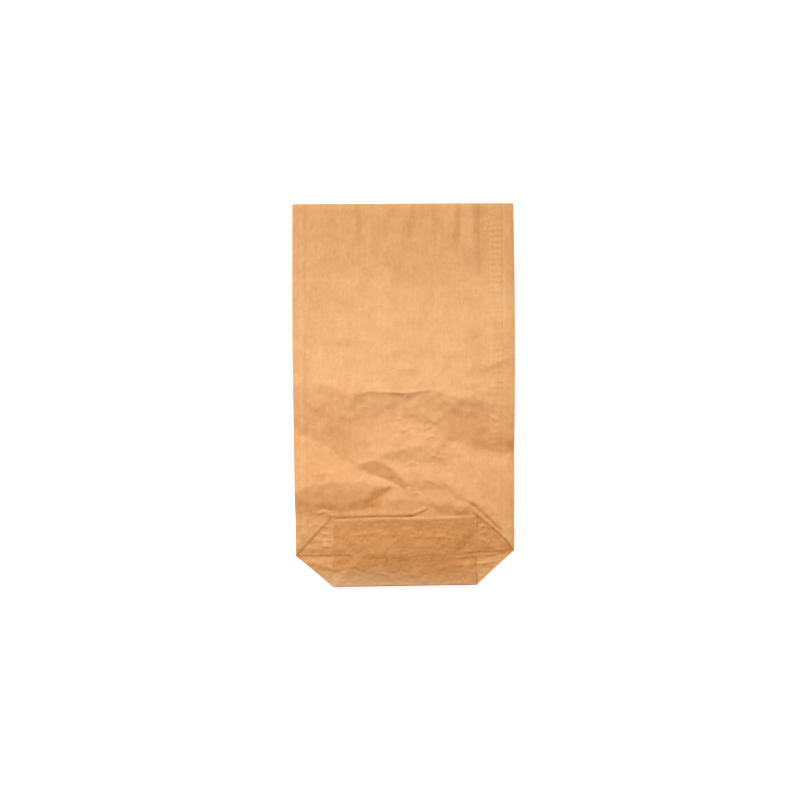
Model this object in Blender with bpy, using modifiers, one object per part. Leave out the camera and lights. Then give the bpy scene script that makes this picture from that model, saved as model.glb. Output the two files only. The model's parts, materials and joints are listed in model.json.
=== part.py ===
"""Paper sack with a cross bottom, empty and lying flat.

One sheet of kraft paper is lapped into a tube. The tube's lower end is opened out, folded in along the
crease pattern of a cross bottom, and closed by a pasted paper patch.

Metres, +Z up. The origin is on the surface that the sack lies on, at the middle of its outline.
+Y points to the open mouth, +X to the side with the lapped seam, and the folded bottom faces up.
"""

import math

import bmesh
import bpy

# The sack as it lies flat
SACK_WIDTH = 0.550
SACK_LENGTH = 0.950
BOTTOM_WIDTH = 0.173  # the folded bottom, from its rim to the sack's lower edge
FLAP_OVERLAP = 0.025  # how far each flap passes the bottom's middle line
PAPER = 0.0003  # both plies of the wall, which hold together as one sheet
LAYER_GAP = 0.0004  # air between folded layers

# The lapped seam that closes the tube, on the front wall
SEAM_WIDTH = 0.028
SEAM_FROM_EDGE = 0.031  # from the sack's right edge to the seam
SEAM_END_GAP = 0.006  # the seam is modelled down to this far above the rim

# The pasted patch over the flaps
PATCH_LENGTH = 0.352
PATCH_OFFSET = -0.006  # pasted this far off the middle, to the left
PATCH_MARGIN = 0.002  # bare strip left at the rim and at the lower edge
PATCH_PAPER = 0.0003
PATCH_STEP = 0.010  # run over which the patch steps down from one flap to the other

# How the front wall lies over the back wall. Each cross fold left by handling is a straight line over
# the whole width, given as its distance above the rim and the wall's height at the sack's middle.
CROSS_FOLDS = {
    "rim dip": (0.018, 0.0082),
    "lower ridge": (0.087, 0.0105),
    "valley": (0.192, 0.0082),
    "upper ridge": (0.312, 0.0128),
}
RIM_HEIGHT = 0.0095
MOUTH_HEIGHT = 0.0075
CREASE_HEIGHT = 0.0060  # where the front wall turns back, at the bottom's middle line

# Largest spacing of the lines that the sheet may bend along
BEND_SPACING = 0.028
BEND_SPACING_ALONG = 0.095  # along the plain part of the walls

# Order of the paper layers from the surface upwards
LAYERS = (
    "back wall",
    "front wall",
    "turned-back wall",
    "corner",
    "upper corner flap",
    "upper flap",
    "lower corner flap",
    "lower flap",
)

HALF_WIDTH = SACK_WIDTH / 2
HALF_BOTTOM = BOTTOM_WIDTH / 2
MOUTH_Y = SACK_LENGTH / 2
FOOT_Y = -SACK_LENGTH / 2
CREASE_Y = FOOT_Y + HALF_BOTTOM
RIM_Y = CREASE_Y + HALF_BOTTOM
TURN_IN = BOTTOM_WIDTH + FLAP_OVERLAP  # length of tube that is folded into the bottom
BLANK_LENGTH = TURN_IN + MOUTH_Y - CREASE_Y
LAYER_STEP = PAPER + LAYER_GAP
WELD = 0.00001


def clear_scene():
    for old in list(bpy.data.objects):
        bpy.data.objects.remove(old, do_unlink=True)


def paper_material(name, colour, roughness):
    material = bpy.data.materials.new(name)
    material.use_nodes = True
    shader = material.node_tree.nodes["Principled BSDF"]
    shader.inputs["Base Color"].default_value = (*colour, 1.0)
    shader.inputs["Roughness"].default_value = roughness
    shader.inputs["Metallic"].default_value = 0.0
    material.diffuse_color = (*colour, 1.0)
    return material


def new_object(name, work, material, collection):
    mesh = bpy.data.meshes.new(name)
    work.to_mesh(mesh)
    work.free()
    mesh.materials.append(material)
    piece = bpy.data.objects.new(name, mesh)
    collection.objects.link(piece)
    return piece


def cut_along(work, point, normal):
    everything = work.verts[:] + work.edges[:] + work.faces[:]
    bmesh.ops.bisect_plane(work, geom=everything, dist=WELD, plane_co=point, plane_no=normal)


def evenly(low, high, spacing):
    """Evenly spaced places inside low..high, no further apart than the spacing."""
    count = math.ceil((high - low) / spacing)
    return [low + (high - low) * i / count for i in range(1, count)]


def bend_columns():
    """Distances from the sack's side edges of the lines along which every layer may bend, so that
    stacked layers bend alike and keep their gap."""
    return evenly(0.0, HALF_WIDTH, BEND_SPACING)


def height_stations():
    """The front wall's height at the sack's middle, from the lower edge to the mouth."""
    folds = [(RIM_Y + above, height) for above, height in CROSS_FOLDS.values()]
    ends = [(FOOT_Y, 0.0), (CREASE_Y, CREASE_HEIGHT), (RIM_Y, RIM_HEIGHT), (MOUTH_Y, MOUTH_HEIGHT)]
    return sorted(ends + folds)


def middle_height(y):
    stations = height_stations()
    for (y_low, low), (y_high, high) in zip(stations, stations[1:]):
        if y <= y_high:
            share = max(0.0, (y - y_low) / (y_high - y_low))
            return low + (high - low) * share
    return stations[-1][1]


def lift(x, y):
    """How far the upper layers stand above their flat stack: nothing at the outline, most in the middle."""
    from_outline = HALF_WIDTH - abs(x) - max(0.0, CREASE_Y - y)
    inward = min(1.0, max(0.0, from_outline / HALF_WIDTH))
    return middle_height(y) * (1.0 - (1.0 - inward) ** 2)


def layer_height(layer, x, y):
    """Height of a layer's middle surface. The back wall lies flat on the surface below."""
    flat = PAPER / 2 + layer * LAYER_STEP
    return flat if layer == 0 else flat + lift(x, y)


# Half of the tube, slit along the middles of both walls and rolled out flat. "across" is measured from
# the tube's left edge, towards the front wall when positive, and "below" is measured from the crease
# that becomes the bottom's middle line, towards the tube's cut end when positive.


def layer_of(across, below):
    """Which folded layer a point of the rolled-out tube ends up in."""
    front = across > 0
    if below < 0:
        return "front wall" if front else "back wall"
    if abs(across) > below:
        if below < HALF_BOTTOM:
            return "turned-back wall" if front else "back wall"
        return "upper flap" if front else "lower flap"
    if abs(across) < HALF_BOTTOM:
        return "corner"
    return "upper corner flap" if front else "lower corner flap"


def folded_place(layer, across, below):
    """Where that point lies once folded, on the sack's left half."""
    side = abs(across)
    places = {
        "back wall": (side, -below),
        "front wall": (side, -below),
        "turned-back wall": (side, below),
        "corner": (below, across),
        "upper corner flap": (below, BOTTOM_WIDTH - side),
        "upper flap": (side, BOTTOM_WIDTH - below),
        "lower corner flap": (below, side - BOTTOM_WIDTH),
        "lower flap": (side, below - BOTTOM_WIDTH),
    }
    inward, above_crease = places[layer]
    x = inward - HALF_WIDTH
    y = CREASE_Y + above_crease
    if "corner" in layer:
        # an inner fold sits just inside the outer one that wraps it
        room = min(LAYER_STEP, max(0.0, inward - HALF_BOTTOM) / 4)
        y = min(RIM_Y - room, max(FOOT_Y + room, y))
    return x, y


def rolled_out_half():
    """The half tube as a flat grid, cut along every crease and along the fold lines from handling."""
    work = bmesh.new()
    bmesh.ops.create_grid(work, x_segments=1, y_segments=1, size=0.5)
    for vert in work.verts:
        vert.co.x *= SACK_WIDTH
        vert.co.y = TURN_IN - (vert.co.y + 0.5) * BLANK_LENGTH
    crease_rows = [-HALF_BOTTOM, 0.0, HALF_BOTTOM, BOTTOM_WIDTH]
    fold_rows = [-HALF_BOTTOM - above for above, _ in CROSS_FOLDS.values()]
    wall_rows = evenly(CREASE_Y - MOUTH_Y, -HALF_BOTTOM, BEND_SPACING_ALONG)
    bottom_rows = [step for step in bend_columns() if step < TURN_IN] + [-HALF_BOTTOM / 2]
    for below in crease_rows + fold_rows + wall_rows + bottom_rows:
        cut_along(work, (0.0, below, 0.0), (0.0, 1.0, 0.0))
    for across in [0.0, HALF_BOTTOM, BOTTOM_WIDTH] + bend_columns():
        for side in (-1.0, 1.0):
            cut_along(work, (side * across, 0.0, 0.0), (1.0, 0.0, 0.0))
    for slope in (-1.0, 1.0):
        cut_along(work, (0.0, 0.0, 0.0), (slope, 1.0, 0.0))
    return work


def fold_half(blank):
    """Folds the rolled-out half tube flat: each face moves to its layer, and each crease becomes the
    narrow band of paper that turns from one layer to the next."""
    folded = bmesh.new()
    made = {}

    def corner(layer, vert):
        key = (layer, vert.index)
        if key not in made:
            x, y = folded_place(LAYERS[layer], vert.co.x, vert.co.y)
            made[key] = folded.verts.new((x, y, layer_height(layer, x, y)))
        return made[key]

    blank.verts.index_update()
    layers = {}
    for face in blank.faces:
        middle = face.calc_center_median()
        layers[face] = LAYERS.index(layer_of(middle.x, middle.y))
    for face in blank.faces:
        folded.faces.new([corner(layers[face], vert) for vert in face.verts])
    for edge in blank.edges:
        meeting = sorted({layers[face] for face in edge.link_faces})
        if len(meeting) < 2:
            continue
        low, high = meeting
        start, end = (
            [corner(layer, vert) for layer in sorted({layers[face] for face in vert.link_faces})
             if low <= layer <= high]
            for vert in edge.verts
        )
        folded.faces.new(start + end[::-1])
    blank.free()
    return folded


def add_right_half(work):
    everything = work.verts[:] + work.edges[:] + work.faces[:]
    bmesh.ops.mirror(work, geom=everything, axis="X", merge_dist=WELD)
    bmesh.ops.remove_doubles(work, verts=work.verts[:], dist=WELD)


def face_outwards(work):
    """Turns the folded sheet so that the face of the paper that is outside the sack points outwards."""
    bmesh.ops.recalc_face_normals(work, faces=work.faces[:])
    lowest = min(work.faces, key=lambda face: face.calc_center_median().z)
    if lowest.normal.z > 0:
        bmesh.ops.reverse_faces(work, faces=work.faces[:])


def add_seam_lap(sack):
    """Marks the strip of front wall where the sheet's two edges overlap and are glued together."""
    lap = sack.vertex_groups.new(name="seam_lap")
    inner = HALF_WIDTH - SEAM_FROM_EDGE - SEAM_WIDTH
    outer = HALF_WIDTH - SEAM_FROM_EDGE
    front_from = PAPER / 2 + LAYER_STEP / 2
    for vert in sack.data.vertices:
        x, y, z = vert.co
        on_front_wall = y > RIM_Y + SEAM_END_GAP and z > front_from
        if on_front_wall and inner - WELD < x < outer + WELD:
            lap.add([vert.index], 1.0, "REPLACE")


def thicken(piece, thickness, lap_group=None):
    paper = piece.modifiers.new("Paper", "SOLIDIFY")
    paper.thickness = thickness
    paper.offset = 0.0
    paper.use_even_offset = False
    if lap_group:
        paper.thickness = 2 * thickness
        paper.vertex_group = lap_group
        paper.thickness_vertex_group = 0.5


def make_sack(collection):
    work = fold_half(rolled_out_half())
    add_right_half(work)
    for x in (HALF_WIDTH - SEAM_FROM_EDGE, HALF_WIDTH - SEAM_FROM_EDGE - SEAM_WIDTH):
        cut_along(work, (x, 0.0, 0.0), (1.0, 0.0, 0.0))
    face_outwards(work)
    kraft = paper_material("brown kraft paper", (0.79, 0.42, 0.17), 0.82)
    sack = new_object("sack_body", work, kraft, collection)
    add_seam_lap(sack)
    thicken(sack, PAPER, "seam_lap")
    return sack


def patch_height(x, y):
    """The patch lies on the lower flap and steps down to the upper one past the lower flap's edge."""
    on_lower = LAYERS.index("lower flap") + 1
    on_upper = LAYERS.index("upper flap") + 1
    edge = CREASE_Y + FLAP_OVERLAP + LAYER_STEP
    share = min(1.0, max(0.0, (y - edge) / PATCH_STEP))
    layer = on_lower + (on_upper - on_lower) * share
    return layer_height(layer, x, y) + (PATCH_PAPER - PAPER) / 2


def make_patch(collection):
    work = bmesh.new()
    bmesh.ops.create_grid(work, x_segments=1, y_segments=1, size=0.5)
    low = FOOT_Y + PATCH_MARGIN
    high = RIM_Y - PATCH_MARGIN
    for vert in work.verts:
        vert.co.x = PATCH_OFFSET + vert.co.x * PATCH_LENGTH
        vert.co.y = low + (vert.co.y + 0.5) * (high - low)
    edge = CREASE_Y + FLAP_OVERLAP + LAYER_STEP
    for y in [CREASE_Y, edge, edge + PATCH_STEP] + evenly(low, high, BEND_SPACING):
        cut_along(work, (0.0, y, 0.0), (0.0, 1.0, 0.0))
    for from_edge in bend_columns() + [HALF_WIDTH]:
        for side in (-1.0, 1.0):
            cut_along(work, (side * (HALF_WIDTH - from_edge), 0.0, 0.0), (1.0, 0.0, 0.0))
    for vert in work.verts:
        vert.co.z = patch_height(vert.co.x, vert.co.y)
    face_outwards(work)
    kraft = paper_material("orange kraft paper", (0.60, 0.26, 0.09), 0.85)
    patch = new_object("bottom_patch", work, kraft, collection)
    thicken(patch, PATCH_PAPER)
    return patch


def main():
    clear_scene()
    collection = bpy.data.collections.new("paper_sack")
    bpy.context.scene.collection.children.link(collection)
    make_sack(collection)
    make_patch(collection)


main()
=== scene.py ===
# %% [markdown]
# # An empty paper sack, lying flat
#
# The object is an open-mouth sack of brown kraft paper. It is one sheet, lapped and glued into a tube,
# whose lower end is folded into a cross bottom, and one more piece of paper pasted over the folds.
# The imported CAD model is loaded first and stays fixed: it says where everything is and how big it is.

# %% Load the frame
import json
import math

import bmesh
import bpy
import numpy as np
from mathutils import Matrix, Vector, geometry

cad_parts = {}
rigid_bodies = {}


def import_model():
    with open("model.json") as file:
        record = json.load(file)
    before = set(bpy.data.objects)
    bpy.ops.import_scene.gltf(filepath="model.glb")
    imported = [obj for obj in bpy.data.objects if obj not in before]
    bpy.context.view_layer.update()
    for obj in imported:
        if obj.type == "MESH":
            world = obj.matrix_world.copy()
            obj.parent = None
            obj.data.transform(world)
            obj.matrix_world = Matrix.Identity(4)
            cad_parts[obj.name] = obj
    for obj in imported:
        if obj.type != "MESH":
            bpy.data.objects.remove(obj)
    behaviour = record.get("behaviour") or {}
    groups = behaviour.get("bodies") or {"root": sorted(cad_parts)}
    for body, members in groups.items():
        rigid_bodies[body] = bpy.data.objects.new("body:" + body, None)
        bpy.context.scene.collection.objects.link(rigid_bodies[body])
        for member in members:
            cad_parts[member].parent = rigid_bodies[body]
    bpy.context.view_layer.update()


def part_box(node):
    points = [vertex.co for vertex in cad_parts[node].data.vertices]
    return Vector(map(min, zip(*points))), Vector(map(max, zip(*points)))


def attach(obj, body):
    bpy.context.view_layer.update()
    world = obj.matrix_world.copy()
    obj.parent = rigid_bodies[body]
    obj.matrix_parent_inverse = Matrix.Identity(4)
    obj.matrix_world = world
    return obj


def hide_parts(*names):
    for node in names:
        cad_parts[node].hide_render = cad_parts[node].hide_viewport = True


for old in list(bpy.data.objects):
    bpy.data.objects.remove(old, do_unlink=True)

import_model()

# %% [markdown]
# ## Sizes
#
# The sack's outline comes from the frame. The lower edge of the patch lies a small margin above the
# sack's lower edge and its upper edge the same margin below the rim, so the rim is where the patch says.
# The paper's thickness and the air between its layers are the part's own values.

# %% Sizes from the frame
PAPER = 0.0003
LAYER_GAP = 0.0004
LAYER_STEP = PAPER + LAYER_GAP
PATCH_MARGIN = 0.002
FLAP_OVERLAP = 0.025

sack_low, sack_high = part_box("sack_body")
patch_low, patch_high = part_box("bottom_patch")
SACK_WIDTH = round(sack_high[0] - sack_low[0] - PAPER, 3)
SACK_LENGTH = round(sack_high[1] - sack_low[1] - PAPER / 2, 3)
HALF_WIDTH = SACK_WIDTH / 2
MOUTH_Y = SACK_LENGTH / 2
FOOT_Y = -SACK_LENGTH / 2
RIM_Y = round(patch_high[1] + PATCH_MARGIN, 4)
BOTTOM_WIDTH = RIM_Y - FOOT_Y
HALF_BOTTOM = BOTTOM_WIDTH / 2
CREASE_Y = FOOT_Y + HALF_BOTTOM
TURN_IN = BOTTOM_WIDTH + FLAP_OVERLAP
print(f"sack {SACK_WIDTH} x {SACK_LENGTH} m, rim at {RIM_Y}, crease at {CREASE_Y:.4f}")

# %% [markdown]
# ## Places in the photograph
#
# Creases are placed in pixels of the photograph, which looks straight down on the sack. One
# pixel is 2.466 mm, because the sack's 950 mm cover 385 pixels.

# %% Pixels to metres
PIXEL = 0.002466
MIDDLE_U = 403.53  # the sack's middle line
MIDDLE_V = 395.6  # the middle of its length
PICTURE = 800


def to_metres(u, v):
    return (u - MIDDLE_U) * PIXEL, (MIDDLE_V - v) * PIXEL


def to_pixels(x, y):
    return x / PIXEL + MIDDLE_U, MIDDLE_V - y / PIXEL


# %% [markdown]
# ## Camera
#
# A long lens high above the sack shows it almost without perspective, as in the photograph.

# %% Camera
CAMERA_HEIGHT = 9.0
SENSOR = 36.0
view_width = PICTURE * PIXEL
camera_data = bpy.data.cameras.new("camera")
camera_data.sensor_width = SENSOR
camera_data.lens = SENSOR * CAMERA_HEIGHT / view_width
camera = bpy.data.objects.new("camera", camera_data)
bpy.context.scene.collection.objects.link(camera)
camera.location = (*to_metres(PICTURE / 2, PICTURE / 2), CAMERA_HEIGHT)
bpy.context.scene.camera = camera
bpy.context.scene.view_settings.view_transform = "Standard"
print(f"lens {camera_data.lens:.0f} mm")

# %% [markdown]
# ## The sheet, rolled out flat
#
# The sack is folded as its maker folds it. Half of the tube is slit along the middle of both walls and
# rolled out: the side edge lies at x = 0, the back wall to its left and the front wall to its right.
# y runs towards the mouth, and y = 0 is the crease that becomes the bottom's middle line. A grid whose
# cells divide the bottom evenly has a line on each crease, and its diagonals are the slanting creases.


# %% Working by hand, with the mouse left out
def start_editing(piece, mode="FACE"):
    bpy.ops.object.select_all(action="DESELECT")
    bpy.context.view_layer.objects.active = piece
    piece.select_set(True)
    bpy.ops.object.mode_set(mode="EDIT")
    bpy.ops.mesh.select_mode(type=mode)
    bpy.ops.mesh.select_all(action="DESELECT")


def stop_editing():
    bpy.ops.object.mode_set(mode="OBJECT")


def select_faces(piece, rule):
    """Selects the faces whose middle fits the rule, in edit mode."""
    bpy.ops.mesh.select_all(action="DESELECT")
    work = bmesh.from_edit_mesh(piece.data)
    for face in work.faces:
        if rule(face):
            face.select_set(True)
    work.select_flush_mode()
    bmesh.update_edit_mesh(piece.data, loop_triangles=False, destructive=False)


def select_edges(piece, rule):
    bpy.ops.mesh.select_all(action="DESELECT")
    work = bmesh.from_edit_mesh(piece.data)
    for edge in work.edges:
        if rule(edge):
            edge.select_set(True)
    bmesh.update_edit_mesh(piece.data, loop_triangles=False, destructive=False)


def cut(point, normal, **clear):
    bpy.ops.mesh.bisect(plane_co=point, plane_no=normal, threshold=1e-6, **clear)


# %% The flat sheet
CELL = HALF_BOTTOM / 10
back_cells = math.ceil(HALF_WIDTH / CELL)
turn_in_cells = math.ceil(TURN_IN / CELL)
wall_cells = math.ceil((MOUTH_Y - CREASE_Y) / CELL)
across_cells = 2 * back_cells
along_cells = turn_in_cells + wall_cells

bpy.ops.object.select_all(action="DESELECT")
bpy.ops.mesh.primitive_grid_add(x_subdivisions=across_cells, y_subdivisions=along_cells, size=1.0)
sack = bpy.context.object
sack.name = "kraft_sack"
sack.data.name = "kraft_sack"
start_editing(sack)
bpy.ops.mesh.select_all(action="SELECT")
bpy.ops.transform.resize(value=(across_cells * CELL, along_cells * CELL, 1.0))
bpy.ops.transform.translate(value=(0.0, (wall_cells - turn_in_cells) * CELL / 2, 0.0))
for side in (-1.0, 1.0):
    bpy.ops.mesh.select_all(action="SELECT")
    cut((side * HALF_WIDTH, 0.0, 0.0), (side, 0.0, 0.0), clear_outer=True)
bpy.ops.mesh.select_all(action="SELECT")
cut((0.0, -TURN_IN, 0.0), (0.0, -1.0, 0.0), clear_outer=True)
bpy.ops.mesh.select_all(action="SELECT")
cut((0.0, MOUTH_Y - CREASE_Y, 0.0), (0.0, 1.0, 0.0), clear_outer=True)
for slope in (-1.0, 1.0):
    select_faces(sack, lambda face: face.calc_center_median().y < 0)
    cut((0.0, 0.0, 0.0), (slope, 1.0, 0.0))

# %% [markdown]
# ## Which part of the sheet becomes which layer
#
# The creases part the sheet into eight flat layers, which are stacked in this order once folded. Each
# face remembers its layer, and the sheet's own flat coordinates are kept as a UV map, so that the
# paper's grain follows the folds.

# %% Layers
LAYERS = (
    "back wall",
    "front wall",
    "turned-back wall",
    "corner",
    "upper corner flap",
    "upper flap",
    "lower corner flap",
    "lower flap",
)


def layer_of(x, y):
    front = x > 0
    below = -y
    if below < 0:
        return "front wall" if front else "back wall"
    if abs(x) > below:
        if below < HALF_BOTTOM:
            return "turned-back wall" if front else "back wall"
        return "upper flap" if front else "lower flap"
    if abs(x) < HALF_BOTTOM:
        return "corner"
    return "upper corner flap" if front else "lower corner flap"


CRUMPLED_TO = 0.036 - CREASE_Y  # the crumpled stretch of the front wall, above the bottom


def is_crumpled(face):
    middle = face.calc_center_median()
    return middle.x > 0 and HALF_BOTTOM < middle.y < CRUMPLED_TO


def shows_at_bottom(face):
    """The corner triangles, and the front wall beside them."""
    middle = face.calc_center_median()
    beside = middle.x > 0 and 0 < middle.y < HALF_BOTTOM and middle.x < middle.y
    return beside or layer_of(middle.x, middle.y) == "corner" and middle.y > -HALF_BOTTOM


def is_under_patch(face):
    middle = face.calc_center_median()
    return layer_of(middle.x, middle.y) in ("upper flap", "lower flap")


select_faces(sack, lambda face: is_crumpled(face) or shows_at_bottom(face))
bpy.ops.mesh.subdivide(number_cuts=2)
select_faces(sack, is_under_patch)
bpy.ops.mesh.subdivide(number_cuts=1)
work = bmesh.from_edit_mesh(sack.data)
layer_mark = work.faces.layers.int.new("layer")
flat_map = work.loops.layers.uv.new("flat_sheet")
for face in work.faces:
    middle = face.calc_center_median()
    face[layer_mark] = LAYERS.index(layer_of(middle.x, middle.y))
    for loop in face.loops:
        loop[flat_map].uv = loop.vert.co.xy
bmesh.update_edit_mesh(sack.data)
print("flat half sheet:", len(work.faces), "faces")

# %% [markdown]
# ## Folding
#
# A fold turns all the paper beyond a crease half a turn about it. The sheet is first moved so that its
# back wall lies in its final place, and then folded in five steps: the corner over the back wall, the
# turned-back wall over the corner, the front wall over that, and the two flaps inwards. It lies folded
# with no thickness then, so each layer is cut free and lifted to its own height, and the paper that
# turns from one layer to the next is pulled out of its crease edges, one layer's height at a time.
# Pulling it in equal steps makes the creases that meet at a corner join up there.


# %% Fold the sheet
def numbers(*names):
    return {LAYERS.index(name) for name in names}


def select_layers(*names):
    wanted = numbers(*names)
    mark = bmesh.from_edit_mesh(sack.data).faces.layers.int["layer"]
    select_faces(sack, lambda face: face[mark] in wanted)


def fold(point, direction, *names):
    along_x, along_y = direction
    select_layers(*names)
    bpy.ops.transform.rotate(
        value=math.pi,
        orient_axis="X",
        orient_type="GLOBAL",
        orient_matrix=((along_x, along_y, 0.0), (-along_y, along_x, 0.0), (0.0, 0.0, 1.0)),
        orient_matrix_type="GLOBAL",
        constraint_axis=(True, False, False),
        center_override=(*point, 0.0),
    )


bpy.ops.mesh.select_all(action="SELECT")
bpy.ops.transform.rotate(value=math.pi, orient_axis="Y", center_override=(0.0, 0.0, 0.0))
bpy.ops.transform.translate(value=(-HALF_WIDTH, CREASE_Y, 0.0))
SLANT = math.sqrt(0.5)
corner_point = (-HALF_WIDTH, CREASE_Y)
upper = ("upper flap", "upper corner flap")
lower = ("lower flap", "lower corner flap")
fold(corner_point, (SLANT, -SLANT), "corner", "turned-back wall", "front wall", *upper, "lower corner flap")
fold(corner_point, (SLANT, SLANT), "turned-back wall", "front wall", "upper flap")
fold(corner_point, (1.0, 0.0), "front wall")
fold((0.0, RIM_Y), (1.0, 0.0), *upper)
fold((0.0, FOOT_Y), (1.0, 0.0), *lower)
stop_editing()
co = np.array([v.co for v in sack.data.vertices])
print("folded half:", co.min(axis=0).round(4), co.max(axis=0).round(4))

# %% Lift the layers apart
start_editing(sack)
for number, name in enumerate(LAYERS):
    select_layers(name)
    bpy.ops.mesh.split()
    select_layers(name)
    bpy.ops.transform.translate(value=(0.0, 0.0, PAPER / 2 + number * LAYER_STEP))
stop_editing()


def height_of(name):
    return PAPER / 2 + LAYERS.index(name) * LAYER_STEP


def near(a, b):
    return abs(a - b) < 1e-5


def shift_inner_fold(line_y, inwards, *names):
    """The corner's own folds sit just inside the flaps' folds, which wrap them."""
    heights = [height_of(name) for name in names]
    for vert in sack.data.vertices:
        x, y, z = vert.co
        if near(y, line_y) and any(near(z, height) for height in heights):
            from_corner = x + HALF_WIDTH - HALF_BOTTOM
            vert.co.y += inwards * min(LAYER_STEP, max(0.0, from_corner / 4))


shift_inner_fold(RIM_Y, -1.0, "corner", "upper corner flap")
shift_inner_fold(FOOT_Y, 1.0, "corner", "lower corner flap")

# %% [markdown]
# Each fold is told by a rule for the crease line in the picture plane, and by its lower and upper layer.


# %% Turn the paper over at each fold
def on_side(x, y):
    return near(x, -HALF_WIDTH)


def on_crease(x, y):
    return near(y, CREASE_Y)


def on_upper_slant(x, y):
    return near(x + HALF_WIDTH, y - CREASE_Y)


def on_lower_slant(x, y):
    return near(x + HALF_WIDTH, CREASE_Y - y)


def on_rim(x, y):
    return near(y, RIM_Y) and x > -HALF_WIDTH + HALF_BOTTOM - 1e-5


def on_inner_rim(x, y):
    return RIM_Y - LAYER_STEP - 1e-5 < y and x < -HALF_WIDTH + TURN_IN + 1e-5


def on_foot(x, y):
    return near(y, FOOT_Y) and x > -HALF_WIDTH + HALF_BOTTOM - 1e-5


def on_inner_foot(x, y):
    return y < FOOT_Y + LAYER_STEP + 1e-5 and x < -HALF_WIDTH + TURN_IN + 1e-5


def on_upper_flap_slant(x, y):
    return near(x + HALF_WIDTH - HALF_BOTTOM, RIM_Y - y)


def on_lower_flap_slant(x, y):
    return near(x + HALF_WIDTH - HALF_BOTTOM, y - FOOT_Y)


FOLDS = (
    (on_side, "back wall", "front wall"),
    (on_crease, "front wall", "turned-back wall"),
    (on_upper_slant, "turned-back wall", "corner"),
    (on_lower_slant, "back wall", "corner"),
    (on_rim, "turned-back wall", "upper flap"),
    (on_inner_rim, "corner", "upper corner flap"),
    (on_upper_flap_slant, "upper corner flap", "upper flap"),
    (on_foot, "back wall", "lower flap"),
    (on_inner_foot, "corner", "lower corner flap"),
    (on_lower_flap_slant, "lower corner flap", "lower flap"),
)

start_editing(sack, "EDGE")
for on_line, low_name, high_name in FOLDS:
    low, high = height_of(low_name), height_of(high_name)
    mark = bmesh.from_edit_mesh(sack.data).faces.layers.int["layer"]
    low_number = LAYERS.index(low_name)

    def is_fold_edge(edge):
        if len(edge.link_faces) != 1 or edge.link_faces[0][mark] != low_number:
            return False
        ends = [vert.co for vert in edge.verts]
        return all(near(end.z, low) and on_line(end.x, end.y) for end in ends)

    select_edges(sack, is_fold_edge)
    for _ in range(round((high - low) / LAYER_STEP)):
        bpy.ops.mesh.extrude_edges_move(TRANSFORM_OT_translate={"value": (0.0, 0.0, LAYER_STEP)})
bpy.ops.mesh.select_all(action="SELECT")
bpy.ops.mesh.remove_doubles(threshold=2e-5)
stop_editing()

# %% [markdown]
# ## The right half
#
# The folds are the same on both sides, so the right half is a mirror image. Its flat coordinates run on
# from the left half's, because the sheet does, and the paper's streaks must not be mirrored.

# %% Mirror
MIDDLE_GAP = 1e-4
for vert in sack.data.vertices:
    if abs(vert.co.x) < MIDDLE_GAP:
        vert.co.x = 0.0
mirror = sack.modifiers.new("right half", "MIRROR")
mirror.merge_threshold = 1e-5
bpy.ops.object.modifier_apply(modifier=mirror.name)

work = bmesh.new()
work.from_mesh(sack.data)
flat_map = work.loops.layers.uv["flat_sheet"]
for face in work.faces:
    if face.calc_center_median().x > 0:
        for loop in face.loops:
            loop[flat_map].uv.x = SACK_WIDTH - loop[flat_map].uv.x
bmesh.ops.recalc_face_normals(work, faces=work.faces)
lowest = min(work.faces, key=lambda face: face.calc_center_median().z)
if lowest.normal.z > 0:
    bmesh.ops.reverse_faces(work, faces=work.faces[:])
open_edges = sum(len(edge.link_faces) == 1 for edge in work.edges)
odd_edges = sum(len(edge.link_faces) > 2 for edge in work.edges)
work.to_mesh(sack.data)
work.free()
print("folded sack:", len(sack.data.polygons), "faces,", open_edges, "open edges,", odd_edges, "odd edges")

# %% [markdown]
# ## The lapped seam
#
# The tube is closed on its right by a lap, 28 mm wide, where the sheet lies double. Its two edges show as
# fine upright lines, and the paste has made the paper between them cockle. Cuts along the edges keep them
# crisp, and the strip gets smaller faces for its ripples.

# %% Cut the lap's edges
SEAM_FROM_EDGE = 0.031
SEAM_WIDTH = 0.028
SEAM_OUTER = HALF_WIDTH - SEAM_FROM_EDGE
SEAM_INNER = SEAM_OUTER - SEAM_WIDTH
EDGE_SOFTNESS = 0.0008


def is_front_wall(face):
    mark = bmesh.from_edit_mesh(sack.data).faces.layers.int["layer"]
    return face[mark] == LAYERS.index("front wall")


def in_upper_lap(face):
    middle = face.calc_center_median()
    return SEAM_INNER - 0.004 < middle.x < SEAM_OUTER + 0.004 and middle.y > 0.03


start_editing(sack)
for line_x in (SEAM_INNER, SEAM_OUTER):
    for shift in (-EDGE_SOFTNESS, EDGE_SOFTNESS):
        select_faces(sack, lambda face: is_front_wall(face) and face.calc_center_median().x > SEAM_INNER - CELL)
        cut((line_x + shift, 0.0, 0.0), (1.0, 0.0, 0.0))
select_faces(sack, lambda face: is_front_wall(face) and in_upper_lap(face))
bpy.ops.mesh.subdivide(number_cuts=1)
stop_editing()
print("with the lap's cuts:", len(sack.data.polygons), "faces")

# %% [markdown]
# ## Fold lines from handling
#
# The sack has been folded up and pressed flat again. A long ridge crosses it a little below the middle,
# two valleys come in from the sides below it, and the wall is crumpled from there to the bottom. Crumpled
# paper bends along lines and stays flat between them, so the surface is given by its lines: each point
# has its place in the photograph, in pixels, and its height in millimetres. Triangles between the lines
# are the flat facets. A valley point is close to 0, where the two walls almost touch.

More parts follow.
